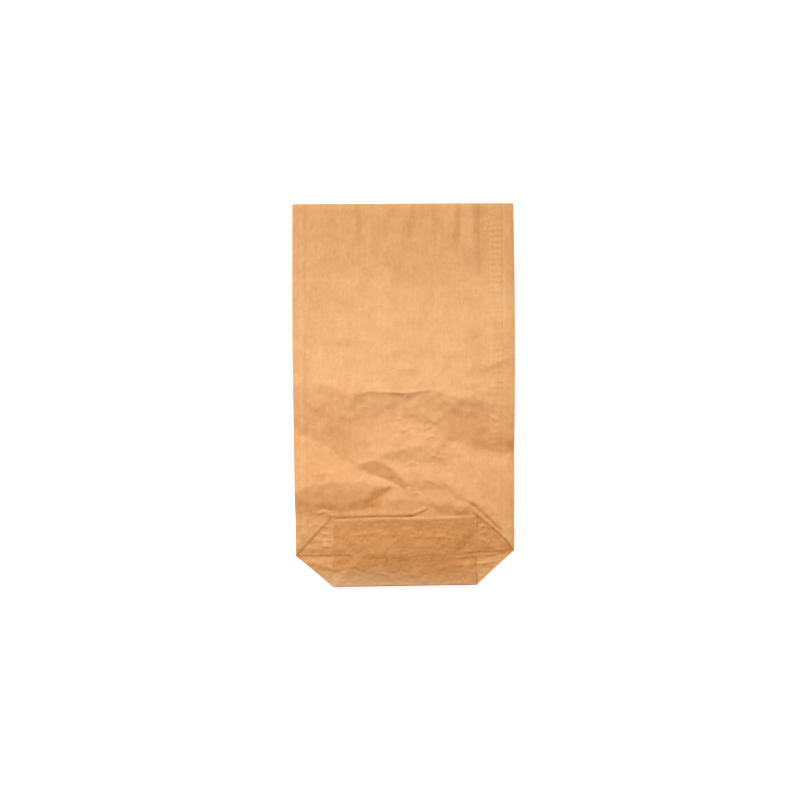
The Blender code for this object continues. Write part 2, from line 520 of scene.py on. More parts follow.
# %% Fold lines
FOLD_LINES = (
    # the mouth, which gapes a little, and the smooth upper half, which rises slowly to the long ridge
    ((288, 198, 2.6), (345, 198, 5.4), (400, 198, 5.8), (460, 198, 5.0), (520, 198, 1.6)),
    ((288, 235, 1.6), (345, 235, 3.4), (400, 235, 3.4), (460, 235, 3.0), (520, 235, 0.8)),
    ((288, 275, 1.2), (345, 275, 2.2), (400, 275, 2.0), (460, 275, 1.8), (520, 275, 0.6)),
    ((288, 310, 1.8), (345, 310, 3.4), (400, 310, 3.2), (460, 310, 3.0), (520, 310, 1.0)),
    ((288, 350, 3.2), (345, 350, 6.2), (400, 350, 6.2), (460, 350, 5.8), (520, 350, 2.2)),
    # the long ridge
    ((288, 383, 5.0), (306, 384, 6.8), (322, 385, 8.0), (336, 388.5, 8.8), (346, 393, 9.0), (353, 395.5, 9.2),
     (360, 394.5, 9.4), (367, 391.5, 9.8), (385, 392.3, 10.0), (405, 393, 10.0), (420, 391, 9.9),
     (434, 390, 9.8)),
    ((434, 390, 9.8), (446, 395, 9.8), (456, 398, 9.9), (468, 397.5, 9.6), (479, 399.5, 8.8), (489, 403, 7.6),
     (500, 402, 6.4), (520, 396, 4.6)),
    ((434, 390, 9.8), (440, 397, 8.4), (443, 403, 7.6)),
    # the foot of the dark strip below the ridge
    ((360, 401, 7.6), (372, 409, 6.2), (386, 412, 5.6), (397, 407, 6.0), (404, 400, 7.4), (414, 398, 7.8),
     (426, 401, 7.6), (443, 403, 7.6)),
    # the bump in the right half of the strip, and the steep slope below it
    ((443, 403, 7.6), (447, 404.5, 8.4), (456, 404.5, 8.4), (468, 405.5, 7.6), (480, 408, 6.6)),
    ((436, 412, 5.8), (446, 414, 5.4), (458, 417, 5.0), (470, 419, 4.8)),
    ((424, 416, 6.0), (430, 419, 5.9), (436, 420, 5.7)),
    ((424, 422, 5.0), (430, 424.5, 4.6), (437, 425.5, 4.4)),
    # valley from the right edge, and the wall above it
    ((489, 416, 5.2), (503, 416, 5.2), (520, 412, 4.2)),
    ((452, 437.5, 2.7), (464, 438.5, 2.2), (473, 440, 1.8), (484, 439.5, 1.9), (498, 437, 2.3), (508, 434.5, 2.6),
     (520, 431, 2.4)),
    ((464, 443.5, 1.5), (474, 447.5, 0.7), (484, 450, 0.3), (498, 451.5, 0.1), (508, 451, 0.1), (520, 449, 0.1)),
    # the left slope
    ((303, 404, 4.9), (314, 407, 5.4), (325, 403, 6.6), (329, 412, 5.2), (334, 420.5, 4.2)),
    ((306, 412, 3.9), (318, 411, 4.5), (329, 412, 5.2)),
    # valley from the left edge
    ((288, 431.5, 0.1), (294, 433, 0.1), (300, 434, 0.2), (312, 437.5, 0.4), (322, 440, 0.5), (330, 440, 0.7),
     (334, 448, 0.5), (337, 454, 0.5), (345, 458.5, 0.9), (352, 462.5, 1.3), (357, 467, 1.6)),
    # the bright middle
    ((350, 432, 2.8), (360, 417, 5.0), (372, 419, 4.9), (386, 412, 5.6)),
    ((358, 448, 2.5), (366, 440, 3.9), (378, 437, 5.0), (392, 436, 5.4), (412, 436, 5.4), (428, 439, 5.2),
     (438, 445, 4.2)),
    ((366, 459, 2.4), (380, 454.5, 4.2), (392, 452.5, 5.1), (404, 448.5, 5.5), (418, 446, 5.6), (430, 449, 5.0),
     (438, 445, 4.2)),
    ((390, 462, 3.6), (400, 462, 3.1), (413, 461.5, 2.9), (424, 463, 2.5), (436, 465.5, 2.3), (450, 464, 2.4)),
    # right of the middle, below the right slope
    ((438, 445, 4.2), (447, 440.5, 2.3), (456, 440, 1.9), (464, 443.5, 1.5)),
    ((441, 453, 3.3), (454, 452, 3.0), (464, 455, 2.4), (480, 462, 1.5), (498, 466, 1.4), (520, 464, 1.4)),
    # the diagonal fold's ridge and its foot
    ((357, 467, 1.6), (361, 464.5, 2.5), (368, 463, 3.1), (375, 460.5, 3.7), (381, 461, 4.0), (387, 465, 4.2),
     (393, 469.5, 4.4), (400, 476, 4.6), (405, 480.5, 4.4), (412, 486, 3.6)),
    ((357, 467, 1.6), (365, 471.5, 0.9), (374, 475, 0.7), (383, 478.5, 0.8), (391, 482, 1.0), (398, 485.5, 1.3),
     (404, 489, 2.0)),
    # the lower ridge, left
    ((288, 489, 4.4), (300, 488.5, 5.2), (310, 486, 5.5), (322, 483.5, 5.4), (335, 482.5, 5.0), (350, 483, 4.4),
     (364, 483.5, 3.6), (376, 486, 3.0), (386, 487, 2.6), (395, 487, 1.8)),
    # its foot
    ((288, 509, 0.2), (296, 511, 0.2), (305, 513.5, 0.2), (315, 516, 0.2), (321, 513.5, 0.3), (331, 511, 0.3)),
    ((331, 511, 0.3), (340, 511, 0.2), (356, 509, 0.1), (366, 508, 0.1), (378, 507, 0.1), (381, 502, 0.2),
     (377, 498, 0.3), (385, 494.5, 0.6), (392, 490.5, 1.1), (395, 487, 1.8)),
    ((290, 500, 2.7), (305, 501, 3.0), (320, 501, 3.0), (333, 500, 2.8), (345, 500, 2.4), (356, 500, 2.2),
     (366, 499, 1.7), (377, 498, 0.3)),
    # the bright piece right of it
    ((385, 494.5, 0.6), (392, 500, 1.2), (400, 501, 1.6), (410, 500, 1.9), (422, 498.5, 2.1)),
    ((395, 487, 1.8), (404, 489, 2.0), (412, 486, 3.6)),
    # arcs right of the middle
    ((412, 486, 3.6), (418, 480, 3.7), (427, 480.5, 3.6), (436, 483, 3.5), (442, 482.5, 3.6), (450, 486, 3.5),
     (458, 492, 3.2), (466, 499, 2.9)),
    ((420, 488, 2.6), (428, 490, 2.2), (436, 490, 2.0), (444, 494, 1.8), (452, 497, 1.6), (459, 501, 1.6)),
    # above the rim
    ((422, 498.5, 2.1), (430, 499, 2.1), (438, 504, 2.1), (448, 504, 2.4), (456, 506.5, 2.3), (464, 505, 2.6)),
    ((384, 508, 0.1), (396, 508.5, 0.3), (410, 508, 0.5), (420, 508, 0.6), (430, 509, 0.4), (442, 513, 0.1),
     (454, 514.5, 0.1), (466, 514, 0.1)),
    # the right side below its valley
    ((474, 483, 2.6), (496, 482, 2.4), (520, 480, 2.2)),
    ((464, 505, 2.6), (473, 502.5, 3.0), (480, 504, 2.8), (488, 512, 2.4), (498, 523, 1.6)),
    ((466, 514, 0.1), (475, 509.5, 0.6), (483, 517, 0.5), (493, 527, 0.2)),
    ((500, 506, 2.0), (520, 512, 1.4)),
    # the rim of the bottom
    ((321, 520, 0.3), (331, 518.6, 0.5), (360, 518.1, 0.5), (395, 517.6, 0.6), (425, 517.2, 0.7), (450, 516.8, 0.5),
     (478, 516.4, 0.6)),
    # the side triangles and the bottom
    ((288, 530, 0.8), (298, 536, 0.8), (310, 530, 1.0)),
    ((520, 530, 0.8), (508, 532, 0.8)),
    ((294, 556, 0.2), (315, 556, 0.4), (333, 556, 1.2), (370, 555, 2.0), (403, 555, 2.0), (440, 554, 1.8),
     (477, 552, 1.2), (500, 550, 0.4), (516, 550, 0.2)),
    ((320, 574, 1.8), (345, 574, 2.2), (403, 574, 2.2), (460, 573, 2.2), (492, 570, 1.6)),
    ((320, 594, 1.2), (345, 594, 1.6), (403, 594, 1.6), (460, 594, 1.6), (496, 594, 1.2)),
    ((286, 596, 0.0), (286, 570, 0.0)),
    ((522, 596, 0.0), (522, 570, 0.0)),
)

# %% [markdown]
# ## A raster of heights
#
# The facets are drawn on a fine raster of heights over the picture, half a pixel apart. There they can
# be softened, more in the smooth upper half than in the crumpled part, and their straight lines can be
# made to wander a little, as real creases do. Seeded noise adds the paper's small cockles.

# %% Raster helpers
MAP_STEP = 0.5
MAP_LEFT, MAP_RIGHT, MAP_TOP, MAP_BOTTOM = 286, 522, 196, 596
map_u, map_v = np.meshgrid(
    np.arange(MAP_LEFT, MAP_RIGHT + MAP_STEP / 2, MAP_STEP),
    np.arange(MAP_TOP, MAP_BOTTOM + MAP_STEP / 2, MAP_STEP),
)


def fold_heights():
    """The heights in mm of the flat facets between the fold lines."""
    points = list(dict.fromkeys(point for line in FOLD_LINES for point in line))
    edges = []
    for line in FOLD_LINES:
        numbers_on_line = [points.index(point) for point in line]
        edges += zip(numbers_on_line, numbers_on_line[1:])
    flat_points = [Vector((u, v)) for u, v, _ in points]
    places, _, facets, origins, _, _ = geometry.delaunay_2d_cdt(flat_points, edges, [], 0, 1e-4)
    heights = [points[origin[0]][2] for origin in origins]
    total = np.zeros(map_u.shape)
    for facet in facets:
        (u1, v1), (u2, v2), (u3, v3) = (places[i] for i in facet)
        h1, h2, h3 = (heights[i] for i in facet)
        area = (u2 - u1) * (v3 - v1) - (u3 - u1) * (v2 - v1)
        if abs(area) < 1e-9:
            continue
        columns = slice(*np.searchsorted(map_u[0], (min(u1, u2, u3), max(u1, u2, u3) + 1e-6)))
        rows = slice(*np.searchsorted(map_v[:, 0], (min(v1, v2, v3), max(v1, v2, v3) + 1e-6)))
        u, v = map_u[rows, columns], map_v[rows, columns]
        second = ((u - u1) * (v3 - v1) - (u3 - u1) * (v - v1)) / area
        third = ((u2 - u1) * (v - v1) - (u - u1) * (v2 - v1)) / area
        inside = (second >= -1e-6) & (third >= -1e-6) & (second + third <= 1 + 1e-6)
        part = total[rows, columns]
        part[inside] = (h1 + second * (h2 - h1) + third * (h3 - h1))[inside]
    return total


def blur(field, size):
    """Softens a raster, by a size in pixels of the photograph."""
    sigma = size / MAP_STEP
    reach = int(3 * sigma) + 1
    weights = np.exp(-0.5 * (np.arange(-reach, reach + 1) / sigma) ** 2)
    weights /= weights.sum()
    for axis in (0, 1):
        field = np.apply_along_axis(lambda row: np.convolve(np.pad(row, reach, "edge"), weights, "valid"), axis, field)
    return field


def noise(size, seed):
    """Smooth bumps of that size in pixels, whose spread is 1."""
    field = blur(np.random.default_rng(seed).standard_normal(map_u.shape), size)
    return (field - field.mean()) / field.std()


def sample(field, u, v):
    """The raster's value at any place in the picture, in a straight line between its cells."""
    column = np.clip((u - MAP_LEFT) / MAP_STEP, 0, field.shape[1] - 1.001)
    row = np.clip((v - MAP_TOP) / MAP_STEP, 0, field.shape[0] - 1.001)
    c, r = column.astype(int), row.astype(int)
    along, down = column - c, row - r
    upper = field[r, c] * (1 - along) + field[r, c + 1] * along
    lower = field[r + 1, c] * (1 - along) + field[r + 1, c + 1] * along
    return upper * (1 - down) + lower * down


def ramp(values, start, end):
    """0 before start, 1 after end."""
    return np.clip((values - start) / (end - start), 0.0, 1.0)


# %% [markdown]
# ## Single creases
#
# Small creases and the upright folds at the mouth are strokes. A stroke is strongest on its line and
# fades over a reach on each side: first above a line that is drawn from left to right, or to the right of
# one that is drawn downwards, then on the other side. It also fades towards its ends. The same strokes
# later paint the paper's colour, where they are a shade and not a height.


# %% Strokes
class Stroke:
    def __init__(self, strength, reach, points, taper=0.35, soft=1.35):
        self.strength = strength
        self.reach = reach
        self.points = np.array(points, float)
        self.taper = taper
        self.soft = soft

    def drawn(self):
        """The stroke on the raster."""
        u, v = map_u, map_v
        lengths = np.linalg.norm(np.diff(self.points, axis=0), axis=1)
        best = np.full(u.shape, np.inf)
        side = np.ones(u.shape)
        along = np.zeros(u.shape)
        passed = 0.0
        for start, end, length in zip(self.points, self.points[1:], lengths):
            way = (end - start) / length
            du, dv = u - start[0], v - start[1]
            run = np.clip(du * way[0] + dv * way[1], 0.0, length)
            off = np.hypot(du - run * way[0], dv - run * way[1])
            closer = off < best
            best = np.where(closer, off, best)
            side = np.where(closer, way[0] * dv - way[1] * du, side)
            along = np.where(closer, (passed + run) / lengths.sum(), along)
            passed += length
        reach = np.where(side < 0, *self.reach)
        fade = 1.0
        if self.taper:
            fade = np.clip(np.minimum(along, 1.0 - along) / self.taper, 0.0, 1.0) ** 0.8
        rise = np.clip(1.0 - best / (reach * (0.35 + 0.65 * fade)), 0.0, 1.0)
        return self.strength * fade * rise ** self.soft


# Strength in mm, reach and points in pixels.
SHARP_CREASES = (
    Stroke(0.35, (3, 2), [(428, 452), (436, 457), (447, 459)]),
    Stroke(0.3, (3, 2), [(424, 461), (433, 456), (440, 450)]),
    Stroke(0.35, (3, 2.5), [(414, 482), (424, 479), (434, 482), (444, 489)]),
    Stroke(0.3, (2.5, 2), [(402, 492), (412, 489), (420, 491)]),
    Stroke(0.3, (3, 2), [(404, 466), (413, 463), (421, 466)]),
    Stroke(0.3, (3, 2), [(443, 471), (450, 468), (457, 472)]),
    Stroke(0.35, (3, 2), [(352, 398), (358, 395.5), (367, 391.7), (385, 392.5), (405, 393.5), (426, 390.5), (445, 389)]),
    Stroke(0.9, (16, 7), [(382, 356), (394, 352), (408, 346)], soft=2.0),
    Stroke(0.8, (16, 8), [(394, 371), (404, 369), (420, 370)], soft=2.0),
    Stroke(0.7, (14, 8), [(440, 354), (456, 352), (474, 355)], soft=2.0),
    Stroke(1.0, (16, 7), [(476, 367), (488, 366), (497, 363), (510, 359)], soft=2.0),
    Stroke(0.5, (12, 7), [(322, 341), (345, 339), (372, 341)], soft=2.0),
    Stroke(0.35, (4, 3), [(309, 476), (318, 474.5), (328, 473.5), (340, 475)]),
    Stroke(0.5, (4, 3), [(412, 514.5), (419, 511.5), (428, 507)]),
    Stroke(0.5, (4, 2.5), [(488, 415), (496, 420), (502, 420)]),
    Stroke(0.4, (3.5, 2.5), [(488, 421), (495, 426), (501, 423)]),
    Stroke(0.15, (3, 2), [(314, 412), (319, 407), (326, 403)]),
    Stroke(0.35, (3, 3), [(326, 406), (329, 414), (334, 421)]),
    Stroke(0.2, (3, 3), [(320, 424), (325, 431), (332, 435)]),
    Stroke(0.4, (2.5, 1.5), [(395, 417), (402, 420), (404, 427)]),
    Stroke(0.4, (2.5, 1.5), [(398, 429), (404, 431), (411, 426)]),
    Stroke(0.45, (2.5, 1.5), [(422, 432), (428, 427), (434, 427)]),
    Stroke(0.5, (2.5, 1.5), [(425, 440), (431, 436), (437, 439)]),
    Stroke(0.45, (2.5, 1.5), [(403, 401), (407, 396), (413, 393)]),
    Stroke(0.35, (2.5, 1.5), [(358, 409), (366, 407), (372, 408)]),
    Stroke(0.45, (2.5, 1.5), [(410, 496), (416, 493), (423, 495)]),
)

# Upright folds at the mouth: the paper falls to their right.
MOUTH_FOLDS = (
    Stroke(0.7, (2.5, 12), [(357, 190), (358, 238)], taper=0.3, soft=1.6),
    Stroke(0.5, (2.5, 12), [(385, 190), (386, 240)], taper=0.3, soft=1.6),
    Stroke(1.2, (3, 16), [(411, 190), (410, 218), (407, 244)], taper=0.3, soft=1.6),
    Stroke(0.7, (3, 14), [(433, 190), (434, 240)], taper=0.3, soft=1.6),
    Stroke(1.9, (4, 15), [(456, 180), (456, 214), (453, 250)], taper=0.25, soft=1.6),
    Stroke(2.4, (9, 15), [(472, 170), (472, 232), (475, 272)], taper=0.25, soft=1.6),
)

BOTTOM_CREASES = (
    Stroke(-0.6, (2.0, 2.0), [(463, 500), (476, 507), (500, 530), (506, 537)], taper=0.15),
    Stroke(-0.9, (12, 5), [(292, 556.5), (333, 556), (352, 555)], taper=0.1),
    Stroke(-0.35, (10, 4), [(517, 549.5), (480, 552), (466, 553)], taper=0.1),
    Stroke(0.45, (2.5, 2), [(455, 552.5), (470, 551.5), (512, 549.5)], taper=0.15),
    Stroke(0.35, (2.5, 2), [(452, 557.5), (475, 555.5), (509, 551)], taper=0.15),
    Stroke(0.5, (5, 3), [(425, 574), (438, 569), (455, 565), (478, 563.5), (502, 561)]),
    Stroke(0.5, (6, 3), [(303, 561), (320, 566), (335, 570), (353, 566), (373, 573)]),
    Stroke(0.45, (5, 4), [(377, 568), (389, 578)]),
    Stroke(0.45, (5, 4), [(389, 579), (408, 575), (426, 566)]),
    Stroke(0.2, (5, 3), [(352, 556), (372, 554), (400, 557), (430, 553), (452, 556)], taper=0.2),
    Stroke(0.5, (3, 2), [(380, 530), (386, 545), (384, 556)]),
    Stroke(0.4, (4, 3), [(345, 536), (372, 533), (398, 536)]),
    Stroke(0.4, (4, 3), [(412, 540), (436, 536), (462, 539)]),
    Stroke(1.2, (3, 2), [(316, 515), (323, 512), (331, 513)], taper=0.3),
    Stroke(0.9, (2, 1.5), [(323, 517), (328, 515), (334, 516)], taper=0.3),
)
# Only the front wall dips here, right beside the bottom that is folded on to it.
GROOVES = (
    Stroke(-0.5, (4.0, 9.0), [(296, 557), (331, 518.6)], taper=0.0),
    Stroke(-0.6, (4.0, 9.0), [(330, 518.6), (395, 517.6), (478, 516.4)], taper=0.0),
    Stroke(-0.5, (4.0, 9.0), [(478, 516.4), (499, 532.8), (514, 550)], taper=0.0),
)
END_CREASES = [
    Stroke(0.7, (2.2, 1.6), [(left, v), (left + 10, v + drop)], taper=0.4)
    for left, v, drop in ((322, 526, 2), (321, 533, 3), (323, 540, 1), (322, 546, 1), (478, 526, 1), (479, 533, -1),
                          (478, 540, 0))
]

# %% The raster of heights
RELIEF = 0.76  # the fold lines' heights were read off a little high
crumpled = ramp(map_v, 375, 383) * ramp(map_v, 600, 594)
facets = RELIEF * fold_heights()
soft_facets = blur(facets, 4.0)
facets = soft_facets + crumpled * (blur(facets, 0.8) - soft_facets)
wander_u = 0.9 * noise(2.5, 1)
wander_v = 0.9 * noise(2.5, 2)
facets = sample(facets, map_u + wander_u * crumpled, map_v + wander_v * crumpled)
most_crumpled = np.exp(-(((map_u - 425) / 42) ** 4) - ((map_v - 450) / 58) ** 4)
patchy = np.clip(0.7 + 0.5 * noise(7.0, 5), 0.1, 1.6)
cockles = 0.13 * noise(2.2, 3) + 0.03 * noise(1.0, 4) + 0.10 * noise(4.5, 6)
crinkles = 0.10 * noise(0.9, 9) * ramp(map_v, 514, 522)
heights = facets + crinkles + cockles * patchy * (0.35 + 0.20 * crumpled + 0.65 * most_crumpled)
for stroke in (*SHARP_CREASES, *MOUTH_FOLDS, *BOTTOM_CREASES, *END_CREASES):
    heights = heights + stroke.drawn()
print(f"fold heights {heights.min():.1f} to {heights.max():.1f} mm")

# %% [markdown]
# ## The outline in the photograph
#
# The real sack isn't quite square. Its sides come in by some millimetres towards the bottom, and its
# bottom has been folded a little askew. The flat pattern is eased into that outline before it gets its
# heights: y by a shift that changes from left to right, x by a stretch of each half.

# %% Ease into the outline
# y of the pattern, then how far its left and right ends are moved, in mm
ASKEW = (
    (FOOT_Y, 1.9, 10.0),
    (CREASE_Y, -7.0, 7.7),
    (RIM_Y, -2.6, 5.6),
    (0.0, 0.0, 1.5),
    (MOUTH_Y, -2.8, -0.2),
)
# y of the pattern, then the left edge, the left corner line, the right corner line and the right edge, in mm
SIDES = (
    (FOOT_Y, -252.0, -173.9, 180.0, 262.0),
    (CREASE_Y, -265.4, -181.5, 184.5, 273.1),
    (RIM_Y, -266.5, -181.3, 183.4, 272.9),
    (RIM_Y + 0.05, -268.5, -184.0, 186.5, 272.9),
    (-0.144, -270.3, -185.3, 187.0, 272.9),
    (0.014, -272.8, -187.0, 188.0, 274.2),
    (0.11, -274.4, -188.1, 188.4, 274.9),
    (0.31, -274.8, -188.4, 187.5, 273.6),
    (MOUTH_Y, -274.6, -188.2, 185.5, 270.5),
)
CORNER_X = HALF_WIDTH - HALF_BOTTOM
BULGE = 0.0050  # the right slanting fold isn't straight: its middle stands this far out
BULGE_REACH = 0.022


def ease(x, y):
    """Places of the flat pattern, moved to the photograph's outline."""
    stations, *side_values = zip(*SIDES)
    left_edge, left_corner, right_corner, right_edge = (np.interp(y, stations, v) / 1000 for v in side_values)
    edge = np.where(x < 0, left_edge, right_edge)
    corner = np.where(x < 0, left_corner, right_corner)
    beyond = np.clip((np.abs(x) - CORNER_X) / HALF_BOTTOM, 0.0, None)
    eased_x = np.where(np.abs(x) < CORNER_X, corner * np.abs(x) / CORNER_X, corner + beyond * (edge - corner))
    stations, left_shift, right_shift = zip(*ASKEW)
    share = 0.5 + x / SACK_WIDTH
    shift = np.interp(y, stations, left_shift) * (1 - share) + np.interp(y, stations, right_shift) * share
    eased_y = y + shift / 1000
    bulge_x, bulge_y = to_metres(500, 534)
    bulge = BULGE * np.exp(-((eased_x - bulge_x) ** 2 + (eased_y - bulge_y) ** 2) / BULGE_REACH**2)
    return eased_x + bulge * SLANT, eased_y + bulge * SLANT


# %% [markdown]
# ## How the walls lie
#
# The front wall stands a little above the back wall, most in the middle, and the fold heights are added
# to that. The back wall lies on the surface below. Only where a ridge reaches the side edge, it is lifted
# there together with the front wall, because the two are one sheet.

# %% Lift the front wall
# y of the pattern and the height in the sack's middle
MIDDLE_HEIGHTS = (
    (FOOT_Y, 0.0),
    (CREASE_Y, 0.0045),
    (RIM_Y, 0.0060),
    (-0.11, 0.0060),
    (0.01, 0.0065),
    (MOUTH_Y, 0.0060),
)
EDGE_LIFT_REACH = 0.06
PRESSED = 0.55
SEAM_RIPPLE = 0.0135
SEAM_RIPPLE_HEIGHT = 0.00030


def from_outline(x, y):
    return HALF_WIDTH - np.abs(x) - np.maximum(0.0, CREASE_Y - y)


def lift(x, y):
    inward = np.clip(from_outline(x, y) / HALF_WIDTH, 0.0, 1.0)
    return np.interp(y, *zip(*MIDDLE_HEIGHTS)) * (1.0 - (1.0 - inward) ** 2)


def wall_height(x, y, u, v):
    """How far the front wall and all that is folded on it stand above the flat pile."""
    return np.maximum(lift(x, y) + sample(heights, u, v) / 1000, 0.0)


def pressed(z):
    """The paste holds the bottom's layers closer together than the CAD model has them."""
    front_height = height_of("front wall")
    return np.where(z > front_height, front_height + PRESSED * (z - front_height), z)


def read_places(piece):
    places = np.zeros(len(piece.data.vertices) * 3)
    piece.data.vertices.foreach_get("co", places)
    return places.reshape(-1, 3)


def write_places(piece, places):
    piece.data.vertices.foreach_set("co", places.ravel())
    piece.data.update()


places = read_places(sack)
x, y, z = places.T.copy()
eased_x, eased_y = ease(x, y)
u, v = to_pixels(eased_x, eased_y)
on_front = np.clip((z - PAPER / 2) / LAYER_STEP, 0.0, 1.0)
front = wall_height(x, y, u, v)
edge_u, _ = to_pixels(ease(np.where(x < 0, -HALF_WIDTH, HALF_WIDTH), y)[0], y)
edge_height = np.maximum(sample(heights, edge_u, v) / 1000, 0.0)
fade = np.clip(1.0 - from_outline(x, y) / EDGE_LIFT_REACH, 0.0, 1.0) ** 2
back = np.minimum(edge_height * fade, front)
is_single = np.abs((z - PAPER / 2) / LAYER_STEP - 1.0) < 0.5
in_lap = ramp(x, SEAM_INNER - EDGE_SOFTNESS, SEAM_INNER) * ramp(x, SEAM_OUTER + EDGE_SOFTNESS, SEAM_OUTER)
ripple_wander, ripple_patches = noise(9.0, 7), noise(7.0, 8)
near_lap = ramp(x, SEAM_INNER - 0.006, SEAM_INNER) * ramp(x, SEAM_OUTER + 0.005, SEAM_OUTER)
ripple_strength = np.interp(v, (215, 232, 270, 300, 375, 400, 480, 490), (0.2, 1.0, 0.9, 0.5, 0.5, 0.3, 0.2, 0.0))
ripple_phase = 2 * math.pi * y / SEAM_RIPPLE + 2.2 * sample(ripple_wander, u, v)
ripple_strength *= np.clip(0.85 + 0.35 * sample(ripple_patches, u, v), 0.2, 1.4)
ripples = SEAM_RIPPLE_HEIGHT * np.sin(ripple_phase) * near_lap * ripple_strength
lap = (in_lap * PAPER + ripples) * is_single * (y > RIM_Y + 0.004)
places[:, 0] = eased_x
places[:, 1] = eased_y
groove = sample(sum(stroke.drawn() for stroke in GROOVES), u, v) / 1000
front = np.maximum(front + groove * is_single, 0.0)
places[:, 2] = pressed(z) + on_front * front + (1.0 - on_front) * back + lap * on_front
write_places(sack, places)
print("folded sack stands", round(places[:, 2].max() * 1000, 1), "mm high")

# %% [markdown]
# ## The shade of the paper
#
# Light and shade are also painted into the colour. The paper is painted paler on the ridges and darker in
# the creases, paler on slopes that face the mouth, where the light comes from, and darker on those that
# face away, and areas and lines are painted lighter or darker where facets and folds are lit or shaded. The
# part near the mouth and the crumpled part above the bottom are a little darker than the smooth middle, and
# the bottom's folds get painted shadow lines and the rim a painted highlight. These shades are painted on a
# second raster, in percent, and each vertex takes its own.

# %% Areas
class Area:
    """A stretch of even shade inside a closed line of points, softened at its edge."""

    def __init__(self, strength, points, soft=2.0):
        self.strength = strength
        self.points = points
        self.soft = soft

    def drawn(self):
        inside = np.zeros(map_u.shape, bool)
        for (u1, v1), (u2, v2) in zip(self.points, (*self.points[1:], self.points[0])):
            if v1 == v2:
                continue
            between = (map_v >= min(v1, v2)) & (map_v < max(v1, v2))
            left_of = map_u < u1 + (map_v - v1) / (v2 - v1) * (u2 - u1)
            inside ^= between & left_of
        return self.strength * blur(inside.astype(float), self.soft)


# %% Paint the shades
# Painted light and shade: slopes that face the mouth, where the light comes from, are painted lighter, those facing
# away darker.
SLOPE_LIGHT_AND_SHADE = 33.0  # percent for a slope of 1 mm per pixel that faces the mouth, where the light came from

# Strength in percent, points in pixels. The areas are mostly painted shade where facets turn away from the
# light, and painted light where they face it.
PAINTED_SHADING_AREAS = (
    Area(-5, [(446, 408), (484, 406), (486, 440), (470, 442), (444, 436)], soft=4.0),
    Area(-9, [(472, 439), (518, 433), (518, 451), (498, 454), (474, 449)]),
    Area(-7, [(478, 443), (518, 443), (518, 464), (500, 462)]),
    Area(-4, [(290, 440), (330, 444), (362, 470), (396, 485), (290, 489)], soft=3.0),
    Area(-11, [(357, 466), (366, 461), (384, 463), (408, 483), (402, 488), (384, 478)], soft=1.2),
    Area(7, [(356, 397), (440, 394), (443, 403), (425, 402), (395, 408), (372, 410)], soft=1.5),
    Area(3, [(345, 262), (465, 262), (465, 330), (345, 330)], soft=12.0),
    Area(8, [(350, 428), (440, 428), (440, 446), (400, 462), (350, 462)], soft=6.0),
    Area(-11, [(288, 496), (330, 491), (372, 492), (382, 498), (386, 508), (345, 511), (288, 513)]),
    Area(-8, [(288, 503), (345, 502), (345, 514), (320, 515), (288, 510)], soft=1.5),
    Area(-6, [(392, 499), (420, 500), (430, 505), (430, 511), (388, 511)], soft=1.5),
    Area(-9, [(350, 501), (376, 500), (390, 498), (388, 508), (362, 510), (346, 509)], soft=1.5),
    Area(-18, [(362, 501), (372, 493), (389, 486), (394, 489), (381, 497), (366, 504)], soft=1.0),
    Area(-9, [(300, 512), (330, 513), (366, 508), (430, 510), (478, 512), (478, 516), (330, 518)], soft=1.2),
    Area(-10, [(426, 505), (448, 501), (466, 505), (472, 513), (432, 512)], soft=1.5),
    Area(-5, [(476, 466), (518, 464), (518, 504), (486, 506), (474, 495)], soft=4.0),
    Area(8, [(330, 402), (352, 402), (352, 417), (334, 417)]),
    Area(-9, [(328, 428), (352, 430), (368, 441), (368, 453), (346, 458), (333, 446)], soft=2.5),
    Area(7, [(427, 393), (443, 393), (445, 402), (430, 403)], soft=1.5),
    Area(-7, [(380, 456), (396, 455), (412, 457), (414, 464), (392, 467), (380, 462)], soft=1.5),
    Area(-6, [(388, 266), (446, 266), (446, 285), (392, 285)], soft=3.0),
    Area(6, [(484, 282), (514, 282), (514, 318), (484, 318)], soft=3.0),
    Area(5, [(484, 330), (500, 330), (500, 347), (484, 347)]),
    Area(-6, [(474, 353), (514, 349), (514, 377), (474, 377)], soft=3.0),
    Area(-6, [(291, 354), (306, 354), (306, 375), (291, 375)], soft=2.5),
    Area(-6, [(474, 391), (514, 388), (514, 404), (476, 403)], soft=2.5),
    Area(6, [(450, 402), (474, 402), (474, 411), (450, 411)], soft=1.5),
    Area(-15, [(288, 512), (327, 516), (295, 555)], soft=1.5),
    Area(-5, [(482, 506), (518, 500), (518, 550)]),
)
# The line of a painted highlight on the lit edge just below the rim.
RIM_HIGHLIGHT_LINE = ((332, 519.8), (352, 519.4), (378, 518.7), (405, 518.8), (446, 517.6), (478, 516.6))
